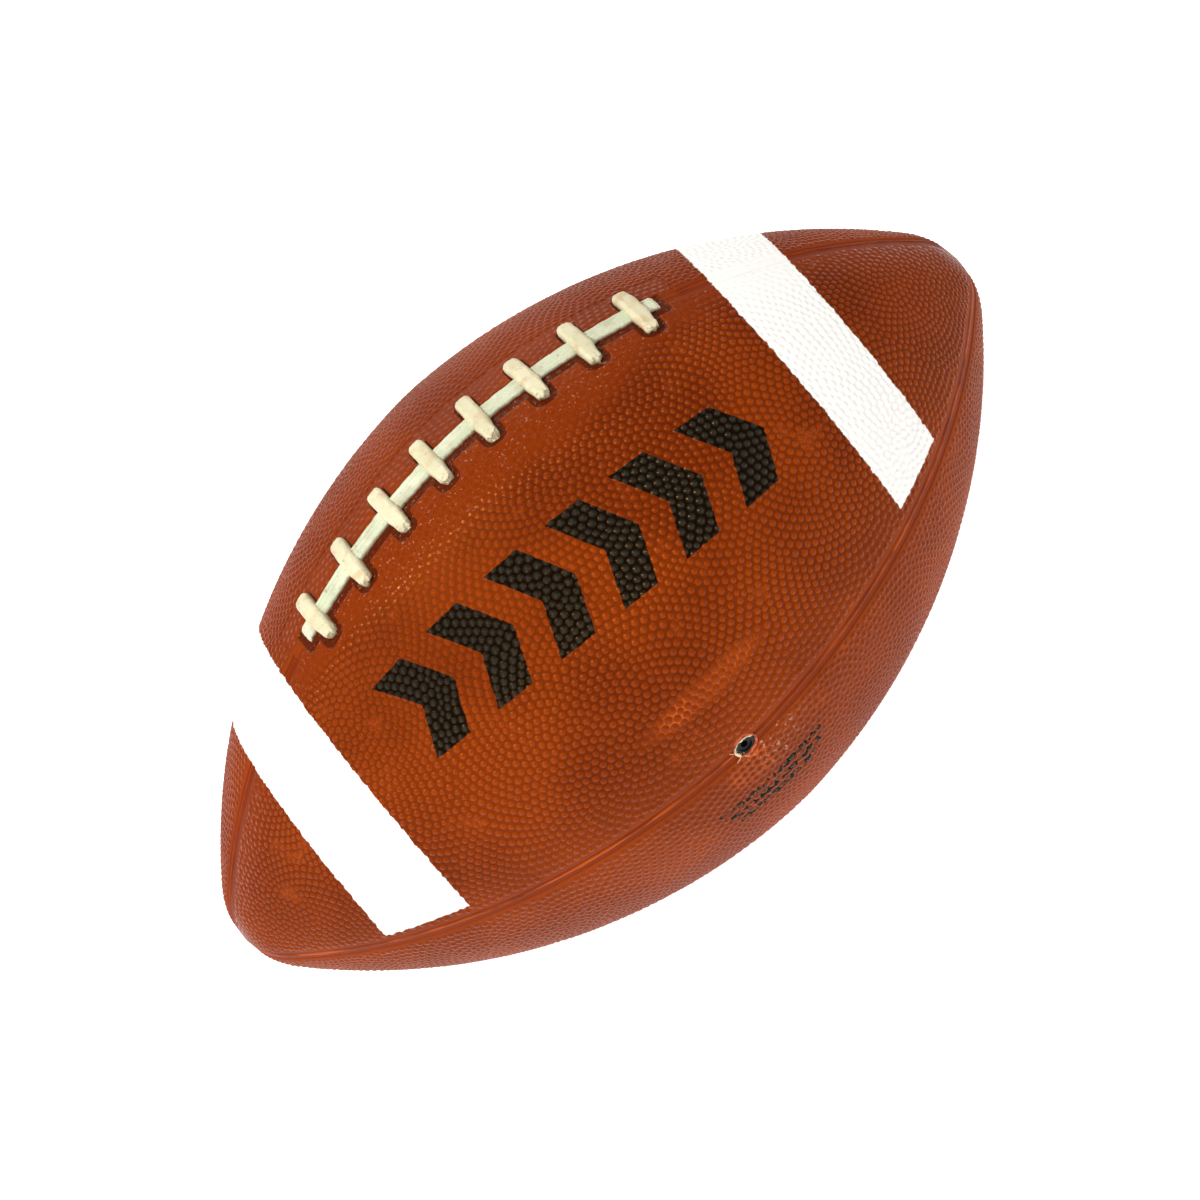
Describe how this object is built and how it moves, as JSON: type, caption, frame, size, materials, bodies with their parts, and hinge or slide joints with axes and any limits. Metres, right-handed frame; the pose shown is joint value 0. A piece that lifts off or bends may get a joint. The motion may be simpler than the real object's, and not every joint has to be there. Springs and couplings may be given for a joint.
{
  "type": "american football",
  "caption": "Inflated football with pebbled rubber cover panels, raised seam beads, a moulded lace strip and a needle valve set in the side seam.",
  "frame": {"origin": "centre of the ball, on its long axis at mid-length", "axes": "+X along the long axis towards one tip, +Z out through the middle of the laces, -Y out through the valve"},
  "size_m": [0.2798, 0.1607, 0.1626],
  "materials": {
    "cover": "pebbled moulded rubber, satin",
    "seam": "smooth moulded rubber, satin",
    "laces": "moulded vinyl, satin, a little stained",
    "bladder": "smooth butyl rubber",
    "winding": "wound nylon thread",
    "carcass": "matt rubber",
    "lining": "woven cotton cloth",
    "valve": "smooth black rubber",
    "eyelet": "pale rubber, worn"
  },
  "bodies": {
    "root": {"bladder": "bladder", "thread_winding": "winding", "rubber_carcass": "carcass", "cloth_lining": "lining", "valve_seat": "valve", "valve_core": "valve", "valve_eyelet": "eyelet", "lace_bed": "seam", "lace_spine": "laces", "lace_bar_1": "laces", "lace_bar_2": "laces", "lace_bar_3": "laces", "lace_bar_4": "laces", "lace_bar_5": "laces", "lace_bar_6": "laces", "lace_bar_7": "laces", "lace_bar_8": "laces", "panel_print": "cover", "panel_lace_back": "cover", "panel_valve_bottom": "cover", "panel_bottom_back": "cover", "seam_strip_lace_right": "seam", "seam_strip_lace_left": "seam", "seam_strip_valve_right": "seam", "seam_strip_valve_left": "seam", "seam_strip_bottom": "seam", "seam_strip_back": "seam"}
  },
  "joints": []
}
